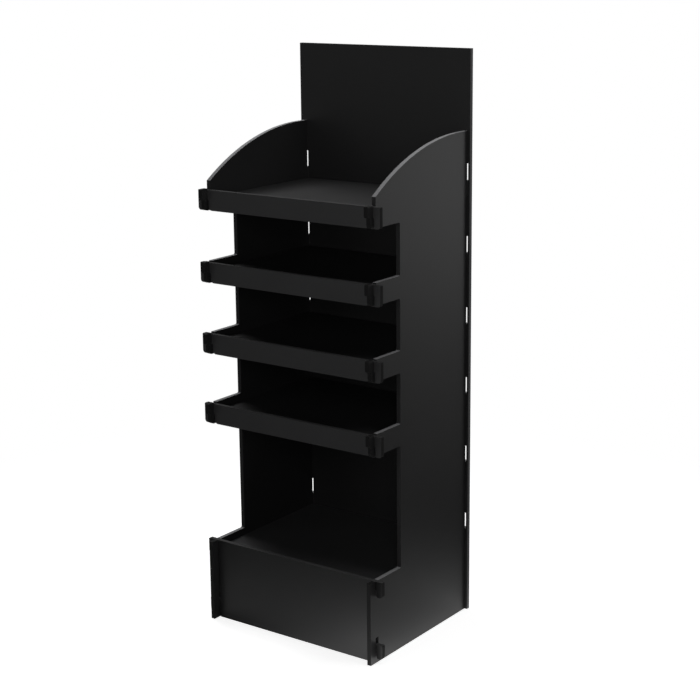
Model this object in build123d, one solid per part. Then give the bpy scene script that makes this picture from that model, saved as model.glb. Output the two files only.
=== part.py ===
from build123d import *
from math import sqrt
import os

# A free-standing display stand of flat rigid board. Every piece is cut from the same sheet, and the
# main pieces slot and hook into each other: the sides hook into the back panel, and the shelf lips
# and the plinth front drop into slots in the sides. X runs across the front, Y to the back, Z up.
# Pieces are drawn with Y = 0 on the front face of the back panel. They are moved at the end so that
# the origin of the part is the centre of its base.

# Board
board = 12.0  # thickness of the sheet
slot_play = 3.0  # free space each side of a board that sits in a slot
seat = 0.3  # gap between a board and the face that it is held against
overlap = 10.0  # how far a cut or a joined piece is drawn past the edge that it meets
near = 0.01  # how close a corner lies to the point given for it

# Overall sizes
outer_width = 558.0  # over the outer faces of the sides
back_overhang = 8.5  # of the back panel beyond the outer face of a side
back_height = 1600.0
side_depth = 468.0  # from the back panel to the front edge of the sides
side_height = 1380.0

# Levels
plinth_height = 232.0
level_pitch = 200.0
first_lip_level = 2  # pitches from the top of the plinth to the lowest lip
lip_count = 4
lip_height = 56.0
lip_stand = 20.0  # height of a lip above the shelf behind it

# Outline of the sides
recess_depth = 325.0  # depth of a side between its arms
inner_round = 5.0  # corners between the arms and the rest of a side
arm_rise = 4.0  # top of an arm above the top of its lip
nose_length = 23.0  # from the front face of a lip to the tip of its arm
nose_height = 30.0  # the tip is set back below this
nose_root = 12.0  # from the front face of a lip to the set back part
nose_top_round = 3.0
nose_foot_round = 5.0
root_foot_round = 12.0
arch_radius = 715.0
arch_level = 30.0  # level stretch of the arched top, next to the back panel

# Lips and plinth front
ear_length = 18.0  # the part of a lip or of the plinth front outside a notch
ear_top_round = 3.0
ear_foot_round = 8.0
ear_inner_round = 4.0
mouth_round = 10.0  # corner of a lip at the open end of a notch
ear_neck = 23.0  # height of an ear of the plinth front where it crosses a side
ear_drop = 21.0  # how far an ear of the plinth front hangs below its neck
hook_neck = 23.0  # height of a low hook where it crosses a side
hook_drop = 17.0
hook_foot = 13.0  # lowest point of a low hook above the floor
hook_play = 2.0  # height left free when a hook is passed through its slot

# Rear hooks of the sides
rear_neck = 40.0
rear_drop = 46.0
rear_rise = 12.0  # top of a neck above its level
rear_reach = 11.0  # how far a hook stands behind the back panel
rear_round = 4.0

# Shelves and the strips that they rest on
shelf_play = 1.0
cleat_height = 24.0
cleat_gap = 4.0

# Derived sizes
half_width = outer_width / 2
inner_half = half_width - board
half_back = half_width + back_overhang
slot_middle = half_width - board / 2
slot_width = board + 2 * slot_play
lip_front = side_depth - nose_length
lip_back = lip_front - board
slot_front = lip_front + seat
slot_rear = lip_back - seat
root_depth = lip_front + nose_root
half_lip = lip_height / 2
lip_tops = [plinth_height + (first_lip_level + i) * level_pitch for i in range(lip_count)]
shelf_tops = [plinth_height - lip_stand] + [top - lip_stand for top in lip_tops]
rear_levels = [plinth_height + i * level_pitch for i in range(first_lip_level + lip_count)]
rear_end = board + seat + rear_reach
base_shift = (side_depth - rear_end) / 2


def block(x0, x1, y0, y1, z0, z1):
    """A solid block between two corners."""
    return Pos((x0 + x1) / 2, (y0 + y1) / 2, (z0 + z1) / 2) * Box(x1 - x0, y1 - y0, z1 - z0)


def panel(u0, u1, v0, v1):
    """A flat rectangle between two corners of a drawing."""
    return Pos((u0 + u1) / 2, (v0 + v1) / 2) * Rectangle(u1 - u0, v1 - v0)


def rounded(face, points, radius):
    """The face with its corners at the given points rounded."""
    corners = [v for v in face.vertices() if min(abs(v.X - x) + abs(v.Y - y) for x, y in points) < near]
    return fillet(corners, radius)


def arch_height(depth):
    """Height of the arched top of a side at a depth in front of the back panel."""
    run = depth - arch_level
    return side_height - arch_radius + sqrt(arch_radius**2 - run**2)


def side_outline():
    """Closed outline of a side, as depth and height, with sharp corners."""
    points = [(0, side_height), (0, 0), (-side_depth, 0), (-side_depth, plinth_height)]
    points.append((-recess_depth, plinth_height))
    for top in lip_tops:
        points.append((-recess_depth, top - lip_height))
        points.append((-root_depth, top - lip_height))
        points.append((-root_depth, top + arm_rise - nose_height))
        points.append((-side_depth, top + arm_rise - nose_height))
        points.append((-side_depth, top + arm_rise))
        if top < lip_tops[-1]:
            points.append((-recess_depth, top + arm_rise))
    points.append((-slot_rear, lip_tops[-1] + arm_rise))
    arch_start = (-slot_rear, arch_height(slot_rear))
    arch_half = (arch_level + slot_rear) / 2
    arch_end = (-arch_level, side_height)
    points.append(arch_start)
    edges = Polyline(*points).edges()
    edges += ThreePointArc(arch_start, (-arch_half, arch_height(arch_half)), arch_end).edges()
    edges += Line(arch_end, points[0]).edges()
    return make_face(Wire(edges))


def rear_hook(level):
    """One hook behind the rear edge of a side: a neck and the part that hangs below it."""
    top = level + rear_rise
    foot = top - rear_neck - rear_drop
    neck = panel(-overlap, rear_end, top - rear_neck, top)
    drop = panel(board + seat, rear_end, foot, top)
    return rounded(neck + drop, [(rear_end, top), (rear_end, foot), (board + seat, foot)], rear_round)


def side_face():
    """The whole face of a side: outline, rounded corners, slots and rear hooks."""
    face = side_outline()
    inner = [(-recess_depth, plinth_height)]
    for top in lip_tops:
        inner.append((-recess_depth, top - lip_height))
        inner.append((-recess_depth, top + arm_rise))
    face = rounded(face, inner, inner_round)
    for top in lip_tops:
        nose_top = top + arm_rise
        nose_foot = nose_top - nose_height
        face = rounded(face, [(-side_depth, nose_top)], nose_top_round)
        face = rounded(face, [(-side_depth, nose_foot), (-root_depth, nose_foot)], nose_foot_round)
        face = rounded(face, [(-root_depth, top - lip_height)], root_foot_round)
    for top in lip_tops:
        face -= panel(-slot_front, -slot_rear, top - half_lip, top + arm_rise + overlap)
    face -= panel(-slot_front, -slot_rear, plinth_height - ear_neck, plinth_height + overlap)
    low_neck = hook_foot + hook_drop
    face -= panel(-slot_front, -slot_rear, low_neck, low_neck + hook_neck + hook_drop + hook_play)
    for level in rear_levels:
        face += rear_hook(level)
    return face


def side_panel(x0):
    """A side, with its inner or left face at x0."""
    return extrude(Plane.YZ.offset(x0) * side_face(), board)


def back_panel():
    """The back panel and header, with a slot for each rear hook of the sides."""
    face = panel(-half_back, half_back, 0, back_height)
    for level in rear_levels:
        bottom = level + rear_rise - rear_neck
        top = level + rear_rise + rear_drop + hook_play
        for middle in (-slot_middle, slot_middle):
            face -= panel(middle - slot_width / 2, middle + slot_width / 2, bottom, top)
    return extrude(Plane.XZ * face, -board)


def front_board(face):
    """A board of the front, from the front face of the lips backwards."""
    return extrude(Plane.XZ.offset(lip_front) * face, -board)


def eared_strip(foot, top, drop):
    """A strip with a notch over each side, which leaves an ear outside each of them."""
    notch_outer = slot_middle + slot_width / 2
    notch_inner = slot_middle - slot_width / 2
    half = notch_outer + ear_length
    face = panel(-half, half, foot, top)
    face -= panel(notch_inner, notch_outer, foot, foot + drop)
    face -= panel(-notch_outer, -notch_inner, foot, foot + drop)
    face = rounded(face, [(-half, top), (half, top)], ear_top_round)
    face = rounded(face, [(-half, foot), (half, foot)], ear_foot_round)
    face = rounded(face, [(-notch_outer, foot), (notch_outer, foot)], ear_inner_round)
    return rounded(face, [(-notch_inner, foot), (notch_inner, foot)], mouth_round)


def shelf_lip(top):
    """A strip across the front of a shelf, notched halfway up over each arm."""
    return front_board(eared_strip(top - lip_height, top, half_lip))


def plinth_front():
    """The front of the plinth, with ears at its top and hooks near the floor."""
    half = inner_half - slot_play
    face = panel(-half, half, 0, plinth_height)
    face += eared_strip(plinth_height - ear_neck - ear_drop, plinth_height, ear_drop)
    face += eared_strip(hook_foot, hook_foot + hook_drop + hook_neck, hook_drop)
    return front_board(face)


def shelf_board(top):
    """A flat shelf between the sides, from its lip to the back panel."""
    half = inner_half - shelf_play
    return block(-half, half, -lip_back, -shelf_play, top - board, top)


def side_cleat(top, left):
    """A strip of board under a shelf, against the inner face of a side."""
    x0 = -inner_half if left else inner_half - board
    z1 = top - board
    return block(x0, x0 + board, -lip_back + cleat_gap, -board - cleat_gap, z1 - cleat_height, z1)


def rear_cleat(top):
    """A strip of board under the rear edge of a shelf, against the back panel."""
    half = inner_half - board - cleat_gap
    z1 = top - board
    return block(-half, half, -board, 0, z1 - cleat_height, z1)


parts = {
    "back_panel": back_panel(),
    "side_panel_left": side_panel(-half_width),
    "side_panel_right": side_panel(inner_half),
    "plinth_front": plinth_front(),
}
for number, top in enumerate(lip_tops, start=1):
    parts[f"shelf_lip_{number}"] = shelf_lip(top)
for number, top in enumerate(shelf_tops):
    place = f"shelf_{number}" if number else "plinth_shelf"
    parts[place] = shelf_board(top)
    parts[f"{place}_cleat_left"] = side_cleat(top, True)
    parts[f"{place}_cleat_right"] = side_cleat(top, False)
    parts[f"{place}_cleat_rear"] = rear_cleat(top)

os.makedirs("parts", exist_ok=True)
for name, shape in parts.items():
    export_step(Pos(0, base_shift, 0) * shape, f"parts/{name}.step")
    print(name, round(shape.volume), "mm3")
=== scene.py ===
# %% [markdown]
# # A black display stand of slotted board
#
# The real stand is cut from one kind of flat board, 12 mm thick, and slotted and hooked together.
# Its shapes are already drawn as solids, so this lesson is about what makes flat black board look
# real: the paper on its faces, the corrugated core on its cut edges, and a light that is soft enough
# to show black on black. Every piece stands in the same frame, in metres, with +Z up.

import bpy
import numpy as np
from mathutils import Matrix, Vector


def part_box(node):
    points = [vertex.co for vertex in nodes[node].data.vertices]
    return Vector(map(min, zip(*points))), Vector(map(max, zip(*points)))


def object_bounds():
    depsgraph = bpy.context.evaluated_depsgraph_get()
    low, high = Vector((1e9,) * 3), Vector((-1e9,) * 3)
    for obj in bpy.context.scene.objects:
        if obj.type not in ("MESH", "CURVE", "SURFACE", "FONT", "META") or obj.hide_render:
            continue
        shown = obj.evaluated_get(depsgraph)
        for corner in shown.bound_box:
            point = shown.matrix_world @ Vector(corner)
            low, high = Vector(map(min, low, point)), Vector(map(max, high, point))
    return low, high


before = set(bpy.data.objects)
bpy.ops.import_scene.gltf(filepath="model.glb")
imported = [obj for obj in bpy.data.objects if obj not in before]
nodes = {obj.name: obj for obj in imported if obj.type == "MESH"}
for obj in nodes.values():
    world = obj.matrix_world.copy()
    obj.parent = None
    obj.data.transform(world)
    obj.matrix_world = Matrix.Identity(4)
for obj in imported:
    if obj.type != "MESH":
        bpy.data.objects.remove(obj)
cad_box = [list(corner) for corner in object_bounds()]
scene = bpy.context.scene
print("nodes", len(nodes), "box", cad_box)

# %% [markdown]
# ## The camera
#
# The photograph was taken with a long lens from the front right, a little above the stand. One could
# turn the camera by hand until it looks right, but eight corners of the stand were read from the
# photograph and the camera was solved from them. It is kept here as a place, three angles and the
# length of the lens. The yaw turns it about the upright, the pitch tips it down, and the roll is the
# small tilt of the picture. The lens shift keeps the uprights as they are in the photograph.

# %% The camera
PICTURE = 700  # pixels a side
PLACE = (2.59515, -3.50415, 1.87315)
YAW, PITCH, ROLL = -0.6296, -0.2277, -0.0101  # radians
FOCAL = 1620.74  # pixels
PRINCIPAL_RISE = 30  # pixels from the middle of the picture up to the principal point
SENSOR = 36.0  # millimetres
FARTHEST = 100.0  # how far the camera sees, which is beyond the edge of the floor


def camera_axes(yaw, pitch, roll):
    """Right, up and forward of a camera. Forward is +Y turned by yaw and tipped by pitch, and the
    other two are then turned about it by roll."""
    forward = np.array([np.sin(yaw) * np.cos(pitch), np.cos(yaw) * np.cos(pitch), np.sin(pitch)])
    level = np.array([np.cos(yaw), -np.sin(yaw), 0.0])
    above = np.cross(level, forward)
    right = level * np.cos(roll) + above * np.sin(roll)
    up = above * np.cos(roll) - level * np.sin(roll)
    return right, up, forward


camera_data = bpy.data.cameras.new("camera")
camera_data.sensor_width = SENSOR
camera_data.lens = FOCAL / PICTURE * SENSOR
camera_data.shift_y = -PRINCIPAL_RISE / PICTURE
camera_data.clip_end = FARTHEST
camera = bpy.data.objects.new("camera", camera_data)
right, up, forward = camera_axes(YAW, PITCH, ROLL)
axes = Matrix([right, up, -forward]).transposed().to_4x4()
camera.matrix_world = Matrix.Translation(PLACE) @ axes
scene.collection.objects.link(camera)
scene.camera = camera
print("lens", round(camera_data.lens, 2), "mm, shift", round(camera_data.shift_y, 4))

# %% [markdown]
# ## Small tools for node materials
#
# A node material is a small program, and most of its steps are sums. Placing each Math node by hand
# hides the formula, so a few short helpers read almost like the sum that they stand for. Each one
# adds a node, plugs in numbers or other nodes' outputs, and gives back the node or its output.


# %% A material and its nodes
class Nodes:
    """Adds nodes to one material and joins them."""

    def __init__(self, name):
        self.material = bpy.data.materials.new(name)
        self.material.use_nodes = True
        self.tree = self.material.node_tree

    def plug(self, value, socket):
        """Joins an output to a socket, or writes a number or colour into it."""
        if isinstance(value, bpy.types.NodeSocket):
            self.tree.links.new(value, socket)
        else:
            socket.default_value = value

    def add(self, kind, *values, operation=None, **named):
        """A node of this kind. The values go into its first inputs in order, and the named ones into
        the inputs of those names, with _ for a space."""
        node = self.tree.nodes.new(kind)
        if operation:
            node.operation = operation
        for value, socket in zip(values, node.inputs):
            self.plug(value, socket)
        for socket, value in named.items():
            self.plug(value, node.inputs[socket.replace("_", " ")])
        return node

    def sum(self, operation, *values):
        """One step of arithmetic on numbers or outputs."""
        return self.add("ShaderNodeMath", *values, operation=operation).outputs[0]

    def vector(self, operation, *values, output="Vector"):
        """One step of arithmetic on points or directions."""
        return self.add("ShaderNodeVectorMath", *values, operation=operation).outputs[output]


print("node tools ready")

# %% Steps, noise and colours
MIX_COLOURS = (6, 7)  # the colour inputs of a Mix node, which has a pair of inputs for each type
MIX_RESULT = 2  # its colour output


def smooth(paint, value, low, high):
    """0 below low, 1 above high, and a smooth step between."""
    node = paint.add("ShaderNodeMapRange", Value=value, From_Min=low, From_Max=high)
    node.interpolation_type = "SMOOTHSTEP"
    return node.outputs["Result"]


def noise(paint, place, scale, detail):
    """Cloudy noise, centred on 0.5, with this many features to a metre. Each step of detail adds
    features of half the size."""
    return paint.add("ShaderNodeTexNoise", Vector=place, Scale=scale, Detail=detail).outputs["Fac"]


def mix(paint, factor, first, second):
    """The first colour where the factor is 0, and the second where it is 1."""
    node = paint.add("ShaderNodeMix")
    node.data_type = "RGBA"
    paint.plug(factor, node.inputs["Factor"])
    for socket, colour in zip(MIX_COLOURS, (first, second)):
        paint.plug(colour, node.inputs[socket])
    return node.outputs[MIX_RESULT]


def gain(paint, colour, value):
    """A colour made darker or lighter by a number."""
    return paint.add("ShaderNodeVectorMath", colour, operation="SCALE", Scale=value).outputs["Vector"]


print("pattern tools ready")

# %% [markdown]
# ## The core of the board
#
# The board is corrugated: sheets of black paper with waves of paper glued between them. Its cut edges
# show this core. A picture of an edge could be wrapped round each piece, but a formula in the board's
# own coordinates is truer: a cut shows waves where it crosses the flutes and straight lines where it
# runs with them, just as a saw cut does, on straight, curved and slanted edges alike.
#
# The formula works across the thickness. The board is split into three layers of flutes, each between
# two liners. In a layer the paper of the wave stands at the middle plus a share of the layer's height
# times the sine of the angle across the flutes. A point close to that line, or to a liner, is paper,
# and the rest is the inside of a flute, painted slightly darker as the shade in its hollow.

# %% The core's measurements
X, Y, Z = 0, 1, 2
BOARD = 0.012
LAYERS = 3
LAYER = BOARD / LAYERS
FLUTE = 0.0068  # from wave to wave
WAVE_HEIGHT = 0.42  # of a layer, from its middle to the top of its wave
LAYER_TURN = 2.1  # radians by which the waves of each layer lead those of the layer before
PAPER = 0.0007  # apparent thickness of the cut paper
PAPER_EDGE = (PAPER * 0.5, PAPER * 1.2)  # from the middle of the paper, where it ends softly
print("layer", LAYER * 1000, "mm, flute", FLUTE * 1000, "mm")


# %% The paper of the core
def cut_paper(paint, reach, angle, start, pitch):
    """1 on the paper of the core, and 0 inside its flutes. reach is the place along the thickness and
    angle the angle across the flutes. The depth is what is left of reach less start when whole
    pitches are taken away. Divided by the height of a layer, its whole part counts the layers, and
    the rest less a half is the height in the layer, from -0.5 to 0.5. The wave is at WAVE_HEIGHT
    times the sine of the angle, the liners are at -0.5 and 0.5, and the nearer of them counts."""
    depth = paint.sum("MODULO", paint.sum("ADD", reach, pitch - start), pitch)
    layer = paint.sum("DIVIDE", depth, LAYER)
    step = paint.sum("FLOOR", layer)
    height = paint.sum("SUBTRACT", paint.sum("SUBTRACT", layer, step), 0.5)
    swing = paint.sum("SINE", paint.sum("ADD", angle, paint.sum("MULTIPLY", step, LAYER_TURN)))
    crest = paint.sum("MULTIPLY", swing, WAVE_HEIGHT)
    to_wave = paint.sum("ABSOLUTE", paint.sum("SUBTRACT", height, crest))
    to_liner = paint.sum("SUBTRACT", 0.5, paint.sum("ABSOLUTE", height))
    gap = paint.sum("MULTIPLY", paint.sum("MINIMUM", to_wave, to_liner), LAYER)
    return paint.sum("SUBTRACT", 1.0, smooth(paint, gap, *PAPER_EDGE))


print("paper edge", [round(edge * 1000, 2) for edge in PAPER_EDGE], "mm")

# %% [markdown]
# ## The paper and its colours
#
# The faces are smooth black paper with a soft sheen, a fine mottle, a broad cloud and the faint
# washboard of the waves below. The ends of cut paper are matt and, from the side, nearly black. Where
# a cut faces up it is painted grey, a painted highlight for the light from above. The tips of the
# arms, in front of the lips, get painted shade and stay dark on top as well, so the grey starts
# behind them.
#
# The gloss could be a second coat on the shader, but one roughness that changes from face to edge is
# plainer, and does the same here.

# %% The paper's colours and gloss
PAPER_BLACK = (0.02, 0.02, 0.0205)
FINE_GRAIN, FINE_DETAIL, FINE_SHARE = 900.0, 4.0, 0.5  # features to a metre, steps, share of the tone
BROAD_GRAIN, BROAD_DETAIL, BROAD_SHARE = 5.0, 2.0, 0.3
EVEN_SHARE = 0.6  # brings the middle of the mottle to 1
# Painted shade: the cut edges of the arm tips, in front of TIP, keep DARK_CUT and get no highlight.
# Other boards use DARK_CUT as the plain dark of their cut edges.
DARK_CUT = 0.15  # of the paper's black, on the cut edges of the tips and of most boards
# Painted shade: the inside of an open flute is painted darker than its paper, for the shade in its
# hollow.
PAINTED_FLUTE_SHADE, PAPER_RISE = 0.8, 0.4  # of a cut edge's tone: inside a flute, and what paper adds
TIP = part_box("shelf_lip_1")[0][Y]  # front faces of the lips, which the arms reach beyond
TIP_EDGE = 0.001  # over which the tips' tone ends
SMOOTHEST, FINE_ROUGH, CUT_ROUGH = 0.38, 0.1, 0.42  # roughness, what fine grain adds, what a cut adds
print("tips lie in front of y", round(TIP, 4))

# %% Where a surface is a face, and where it faces up
FACE_FROM = (0.45, 0.55)  # of the normal along the thickness, from cut edge to face
# Painted highlight: a cut edge is painted lighter as its normal turns from sideways to up.
UP_FROM = (0.55, 1.0)  # of the normal along the upright, from sideways to up


def cut_tone(paint, place, normal, top_cut, side_cut):
    """Tone of a cut edge: DARK_CUT on the arm tips, as painted shade, and behind them side_cut, which
    rises to the value for up-facing edges where the edge faces up, as a painted highlight of the
    light from above."""
    upward = smooth(paint, normal.outputs[Z], *UP_FROM)
    # Painted shade: the arm tips, in front of the lips, get no highlight.
    behind = smooth(paint, place.outputs[Y], TIP - TIP_EDGE, TIP)
    # Painted highlight: cut edges that face up are painted lighter.
    highlight_lift = paint.sum("MULTIPLY_ADD", upward, top_cut - side_cut, side_cut - DARK_CUT)
    return paint.sum("MULTIPLY_ADD", behind, highlight_lift, DARK_CUT)


print("face from", FACE_FROM, "up from", UP_FROM)

# %% Height of the paper's relief
RIB_HEIGHT = 0.000012  # of the washboard, either way
FIBRE_HEIGHT = 0.00006
CUT_HEIGHT = 0.00003  # of the paper of a cut edge above its open flutes
RELIEF_STRENGTH = 0.6


def relief(paint, face, cut, fine, angle, paper):
    """A bumped normal. On a face the height is that of the fibres plus the cosine of the angle across
    the flutes, and on a cut edge the paper stands above the open flutes."""
    grain = paint.sum("MULTIPLY", fine, FIBRE_HEIGHT)
    face_height = paint.sum("MULTIPLY_ADD", paint.sum("COSINE", angle), RIB_HEIGHT, grain)
    cut_height = paint.sum("MULTIPLY", paper, CUT_HEIGHT)
    on_face = paint.sum("MULTIPLY", face, face_height)
    height = paint.sum("ADD", on_face, paint.sum("MULTIPLY", cut, cut_height))
    bump = paint.add("ShaderNodeBump", Height=height, Strength=RELIEF_STRENGTH, Distance=1.0)
    return bump.outputs["Normal"]


print("ribs", RIB_HEIGHT * 1e6, "micrometres")


# %% The material of one board
def board_material(name, thick, across, start, pitch=1.0, tone=1.0, top_cut=1.2, side_cut=DARK_CUT):
    """Black board whose thickness lies along one axis and whose flutes repeat along another. start is
    the board's lowest face along the thickness, and pitch the step at which such boards repeat. The
    tone of the faces is painted light and shade for this group, and the two cut values are for cut
    edges that face up, with a painted highlight, and sideways, all as shares of the paper's black."""
    paint = Nodes(name)
    where = paint.add("ShaderNodeTexCoord").outputs
    place = paint.add("ShaderNodeSeparateXYZ", where["Object"])
    normal = paint.add("ShaderNodeSeparateXYZ", where["Normal"])
    angle = paint.sum("MULTIPLY", place.outputs[across], 2 * np.pi / FLUTE)
    face = smooth(paint, paint.sum("ABSOLUTE", normal.outputs[thick]), *FACE_FROM)
    cut = paint.sum("SUBTRACT", 1.0, face)
    paper = cut_paper(paint, place.outputs[thick], angle, start, pitch)

    fine = noise(paint, where["Object"], FINE_GRAIN, FINE_DETAIL)
    broad = noise(paint, where["Object"], BROAD_GRAIN, BROAD_DETAIL)
    cloud = paint.sum("MULTIPLY_ADD", broad, BROAD_SHARE, EVEN_SHARE)
    mottle = paint.sum("MULTIPLY_ADD", fine, FINE_SHARE, cloud)
    face_colour = gain(paint, tuple(part * tone for part in PAPER_BLACK), mottle)

    # Cut edges: painted shade on the arm tips and a painted highlight where they face up.
    edge_tone = cut_tone(paint, place, normal, top_cut, side_cut)
    # Painted shade: the open flutes are painted darker than their paper.
    core = paint.sum("MULTIPLY", edge_tone, paint.sum("MULTIPLY_ADD", paper, PAPER_RISE, PAINTED_FLUTE_SHADE))
    core_colour = gain(paint, PAPER_BLACK, core)

    rough = paint.sum("MULTIPLY_ADD", fine, FINE_ROUGH, SMOOTHEST)
    shader = paint.tree.nodes["Principled BSDF"].inputs
    paint.plug(mix(paint, face, core_colour, face_colour), shader["Base Color"])
    paint.plug(paint.sum("MULTIPLY_ADD", cut, CUT_ROUGH, rough), shader["Roughness"])
    paint.plug(relief(paint, face, cut, fine, angle, paper), shader["Normal"])
    return paint.material


print("board material ready")

# %% [markdown]
# ## Dressing the pieces
#
# All pieces are cut from the same board, but they aren't equally black, because each of them sees
# another part of the room. Copying that room would take guesses at every wall and lamp, so each group
# has a tone of its own instead, which paints that light and shade into the colour of its faces.
# Pieces that lie in one slab share a material, and so do the four shelves, which repeat at one pitch,
# because the depth into the board is counted from the lowest face of the slab.

# %% The main pieces
lips = [f"shelf_lip_{number}" for number in range(1, 5)]
shelves = [f"shelf_{number}" for number in range(1, 5)]
low = {name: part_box(name)[0] for name in nodes}
SHELF_PITCH = 0.2
# Painted highlight: the arches and arm tops of the sides are painted lightest.
SIDE_CUTS = {"top_cut": 16.0, "side_cut": 1.2}  # arches and arms have the lightest tops


def dress(pieces, what, thick, across, **finish):
    """Makes one board and gives it to these pieces, which lie in the slab of the first one or whole
    pitches above it."""
    board = board_material(f"board of the {what}", thick, across, low[pieces[0]][thick], **finish)
    for piece in pieces:
        mesh = nodes[piece].data
        mesh.materials.clear()
        mesh.materials.append(board)
    print(board.name, len(pieces))


# Each tone below paints light and shade into a group's faces, and the values for up-facing cut edges
# paint a highlight on them.
dress(["side_panel_left"], "left side", X, Y, **SIDE_CUTS)
dress(["side_panel_right"], "right side", X, Y, **SIDE_CUTS)
dress(["back_panel"], "back", Y, X, top_cut=4.0, side_cut=6.0)
dress(["plinth_front"], "plinth front", Y, X, tone=0.6, top_cut=3.0)
dress(lips, "lips", Y, X, tone=2.1, top_cut=2.0)
dress(shelves, "shelves", Z, X, pitch=SHELF_PITCH, tone=1.3)
dress(["plinth_shelf"], "plinth shelf", Z, X, tone=2.5)

# %% The strips below the shelves
# The strips' tone paints in the light and shade that they get.
for end, thick, across in (("left", X, Y), ("right", X, Y), ("rear", Y, X)):
    strips = [f"{shelf}_cleat_{end}" for shelf in ["plinth_shelf"] + shelves]
    dress(strips, f"{end} strips", thick, across, tone=0.9)

# %% [markdown]
# ## Floor and background
#
# The photograph has a pure white ground. A floor that is lit until it is white would throw too much
# light back on the black board, so what the camera sees of the floor and what the board gets from it
# are set apart. For the camera the floor is pale and glows, so that it keeps the stand's soft shadow,
# and it turns into plain white further out.

# %% The floor
FLOOR_REACH = 40.0
FLOOR_RINGS, FLOOR_SPOKES = 24, 96


def disc(name, reach, rings, spokes):
    """A round floor. Point (ring, spoke) stands at reach times the square of ring / rings, along
    the angle of its spoke."""
    radius = reach * (np.arange(1, rings + 1) / rings) ** 2
    angle = np.arange(spokes) * 2 * np.pi / spokes
    x = np.outer(radius, np.cos(angle)).ravel()
    y = np.outer(radius, np.sin(angle)).ravel()
    points = np.vstack([[0, 0, 0], np.column_stack([x, y, np.zeros_like(x)])])
    ring, spoke = np.meshgrid(np.arange(rings - 1), np.arange(spokes), indexing="ij")
    here = ring * spokes + spoke
    beside = ring * spokes + (spoke + 1) % spokes
    quads = np.stack([here, here + spokes, beside + spokes, beside], -1).reshape(-1, 4) + 1
    first = np.arange(spokes)
    fan = np.stack([np.zeros(spokes, int), first + 1, (first + 1) % spokes + 1], -1)
    mesh = bpy.data.meshes.new(name)
    mesh.from_pydata(points.tolist(), [], fan.tolist() + quads.tolist())
    obj = bpy.data.objects.new(name, mesh)
    scene.collection.objects.link(obj)
    return obj


floor = disc("floor", FLOOR_REACH, FLOOR_RINGS, FLOOR_SPOKES)
print("floor faces", len(floor.data.polygons))

# %% Where a point of the floor lies
ground = Nodes("white ground")
ground.tree.nodes.remove(ground.tree.nodes["Principled BSDF"])
place = ground.add("ShaderNodeTexCoord").outputs["Object"]
stand_size = Vector(cad_box[1]) - Vector(cad_box[0])
outside = ground.vector("SUBTRACT", ground.vector("ABSOLUTE", place), stand_size / 2)
beyond = ground.vector("MAXIMUM", outside, (0.0, 0.0, 0.0))
away = ground.vector("LENGTH", beyond, output="Value")
print("distances are measured from the stand, of size", [round(side, 3) for side in stand_size])

# %% What the camera sees of the floor
WHITE = (1.0, 1.0, 1.0, 1.0)
PALE = (0.9, 0.9, 0.9, 1.0)
SHADOW_GLOW = 0.78  # added to the pale floor, so that its shadow is weak
WHITE_FROM = (0.4, 1.6)  # metres from the stand, from shadowed floor to plain white

pale = ground.add("ShaderNodeBsdfDiffuse", Color=PALE)
glow = ground.add("ShaderNodeEmission", Color=WHITE, Strength=SHADOW_GLOW)
shadowed = ground.add("ShaderNodeAddShader", pale.outputs[0], glow.outputs[0])
white = ground.add("ShaderNodeEmission", Color=WHITE, Strength=1.0)
far = smooth(ground, away, *WHITE_FROM)
shown = ground.add("ShaderNodeMixShader", far, shadowed.outputs[0], white.outputs[0])
print("plain white from", WHITE_FROM[1], "m")

# %% [markdown]
# ## What the floor gives to the board
#
# For the board the floor is pale next to the stand and dark further out, and three glows stand for
# the lit paper of a studio: a bright spot in front of the plinth, a band round the stand that grows
# from left to right, and a weak even one further out. They give the low faces of the stand soft
# gradients, as in the photograph. Lamps close to the floor could do this too, but they would show as
# patches in the sheen of the paper. A glow that falls off smoothly from one point or from the edge of
# the stand leaves none.

# %% The glows of the floor
SPOT = (0.22, -0.38, 0.0)
SPOT_LIGHT, SPOT_FALL = 2.1, 11.5  # strength in the middle, and its fall to a metre
BAND_LIGHT, BAND_FALL = 0.6, 14.0
BAND_FROM = (-0.3, 0.35)  # metres across, from no band to the full one
FAR_LIGHT = 0.1
FAR_FROM = (0.9, 1.5)  # metres from the stand, from no far light to the full one


def falling(paint, distance, light, fall):
    """Light times e to the power of minus fall times the distance."""
    power = paint.sum("POWER", np.e, paint.sum("MULTIPLY", distance, -fall))
    return paint.sum("MULTIPLY", power, light)


spot_distance = ground.vector("DISTANCE", place, SPOT, output="Value")
spot = falling(ground, spot_distance, SPOT_LIGHT, SPOT_FALL)
rightward = smooth(ground, ground.add("ShaderNodeSeparateXYZ", place).outputs[X], *BAND_FROM)
band = falling(ground, away, BAND_LIGHT, BAND_FALL)
distant = ground.sum("MULTIPLY", smooth(ground, away, *FAR_FROM), FAR_LIGHT)
glows = ground.sum("ADD", ground.sum("MULTIPLY_ADD", band, rightward, spot), distant)
print("glows", SPOT_LIGHT, BAND_LIGHT, FAR_LIGHT)

# %% The floor's light
DIM = (0.1, 0.1, 0.1, 1.0)
DIM_FROM = (0.05, 0.6)  # metres from the stand, from pale to dim

shade = mix(ground, smooth(ground, away, *DIM_FROM), PALE, DIM)
matt = ground.add("ShaderNodeBsdfDiffuse", Color=shade)
glowing = ground.add("ShaderNodeEmission", Color=WHITE, Strength=glows)
given = ground.add("ShaderNodeAddShader", matt.outputs[0], glowing.outputs[0])
to_camera = ground.add("ShaderNodeLightPath").outputs["Is Camera Ray"]
chosen = ground.add("ShaderNodeMixShader", to_camera, given.outputs[0], shown.outputs[0])
ground.plug(chosen.outputs[0], ground.tree.nodes["Material Output"].inputs["Surface"])
floor.data.materials.append(ground.material)
print("floor has", floor.data.materials[0].name)

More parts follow.
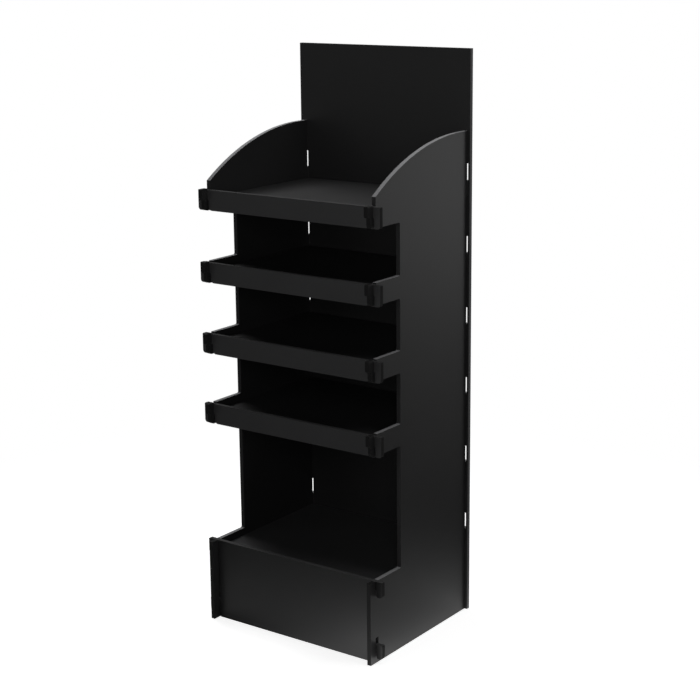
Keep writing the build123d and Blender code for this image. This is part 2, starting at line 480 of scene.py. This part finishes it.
# %% [markdown]
# ## The world
#
# The world is white for the camera too, so that no horizon shows. What it gives to the board is very
# weak, because light from all sides fills the shade between the shelves and makes black board grey.

# %% The world
WORLD_LIGHT = 0.014
world = bpy.data.worlds.new("studio")
world.use_nodes = True
scene.world = world
tree = world.node_tree
lit = tree.nodes["Background"]
lit.inputs["Color"].default_value = WHITE
lit.inputs["Strength"].default_value = WORLD_LIGHT
seen = tree.nodes.new("ShaderNodeBackground")
seen.inputs["Color"].default_value = WHITE
ray = tree.nodes.new("ShaderNodeLightPath")
either = tree.nodes.new("ShaderNodeMixShader")
tree.links.new(ray.outputs["Is Camera Ray"], either.inputs[0])
tree.links.new(lit.outputs[0], either.inputs[1])
tree.links.new(seen.outputs[0], either.inputs[2])
tree.links.new(either.outputs[0], tree.nodes["World Output"].inputs["Surface"])
print("world", WORLD_LIGHT)

# %% [markdown]
# ## Soft light
#
# Black board shows its form only through soft light from a few sides. Each lamp is an area lamp,
# which stands for a soft box, and all but the weak one close to the front are large. Small bright
# lamps would do for matt board, but the soft sheen of this paper would show them as spots. The
# strength of a lamp is given as the brightness of a white surface that faces it at the stand, where 1
# is white, so lamps of different sizes can be compared.

# %% The lamps
AIM = Vector((0.0, 0.0, 0.8))  # the middle of the stand
LAMPS = {  # place, side and light
    "top_left": ((-1.8, 0.8, 4.2), 1.8, 0.32),
    "top": ((0.0, -0.3, 4.6), 2.0, 0.15),
    "right_high": ((3.0, 0.6, 4.0), 1.6, 0.13),
    "back_right": ((2.2, 3.2, 1.0), 1.6, 0.05),
    "front_right": ((2.6, -4.2, 2.2), 2.0, 0.13),
    "front_left": ((-2.6, -4.2, 2.0), 2.4, 0.02),
    "behind": ((0.4, 5.0, 2.0), 4.0, 0.09),
    "left": ((-4.6, 1.8, 1.8), 3.0, 0.1),
    "front_near": ((0.25, -1.0, 1.15), 0.4, 0.03),
}


def soft_box(name, place, side, light):
    """A square area lamp aimed at the stand. A surface that faces it at a distance gets its power
    divided by pi times the square of the distance, and a white matt surface looks as bright as what
    it gets divided by pi. So the power is light times pi times pi times the distance squared."""
    data = bpy.data.lights.new(name, "AREA")
    data.shape = "SQUARE"
    data.size = side
    distance = (Vector(place) - AIM).length
    data.energy = light * np.pi * np.pi * distance**2
    lamp = bpy.data.objects.new(name, data)
    lamp.location = place
    lamp.rotation_euler = (AIM - Vector(place)).to_track_quat("-Z", "Y").to_euler()
    lamp.visible_camera = False
    scene.collection.objects.link(lamp)
    return lamp


for name, (lamp_place, side, light) in LAMPS.items():
    made = soft_box(name, lamp_place, side, light)
    print(name, round(made.data.energy, 1), "W")

# %% [markdown]
# ## The view
#
# Paper and light must not change the size of the stand. The box of the solids is printed when they
# are loaded. The Standard view shows each colour as the light gives it, where a filmic view would
# turn the white ground grey.

# %% Finish
scene.view_settings.view_transform = "Standard"
